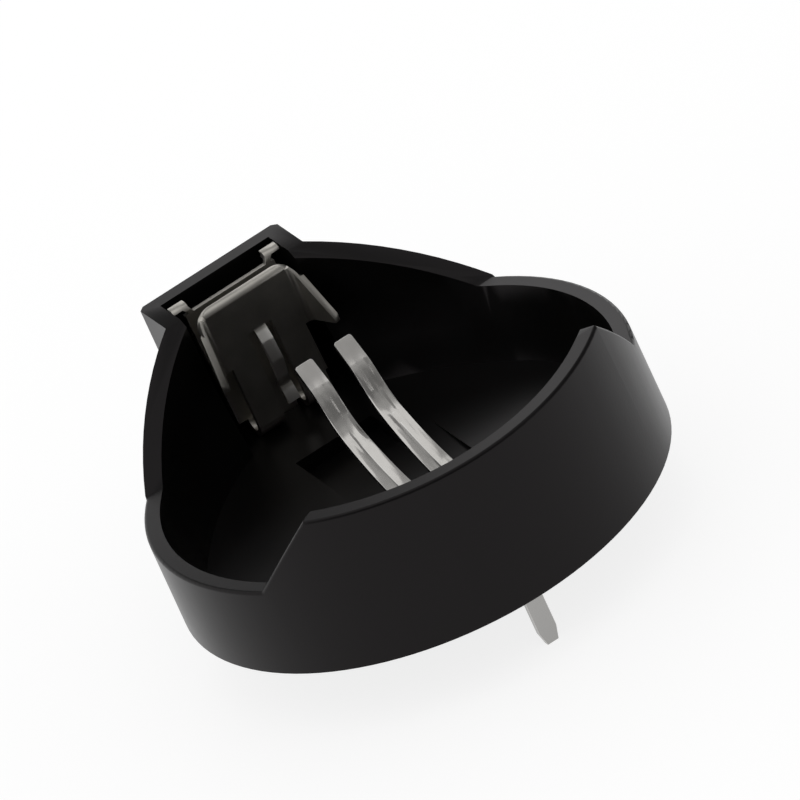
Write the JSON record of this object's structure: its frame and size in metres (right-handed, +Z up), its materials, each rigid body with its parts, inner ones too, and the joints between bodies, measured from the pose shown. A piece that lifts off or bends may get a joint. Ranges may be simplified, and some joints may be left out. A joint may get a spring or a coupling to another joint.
{
  "type": "coin cell holder",
  "caption": "Open-topped moulded holder that seats a coin cell on a circuit board, with a sprung edge contact, sprung fingers under the cell and through-hole pins.",
  "frame": {"origin": "centre of the cell's seat, on the plane where the holder stands on its board", "axes": "+Z up out of the board, -Y towards the raised front wall, +Y towards the contact pocket, X across"},
  "size_m": [0.024, 0.0278, 0.0117],
  "materials": {
    "housing_plastic": "fine satin, black",
    "positive_contact_metal": "plated, bright",
    "negative_contact_metal": "plated, satin"
  },
  "bodies": {
    "root": {"housing": "housing_plastic", "positive_contact": "positive_contact_metal", "negative_contact": "negative_contact_metal"}
  },
  "joints": []
}
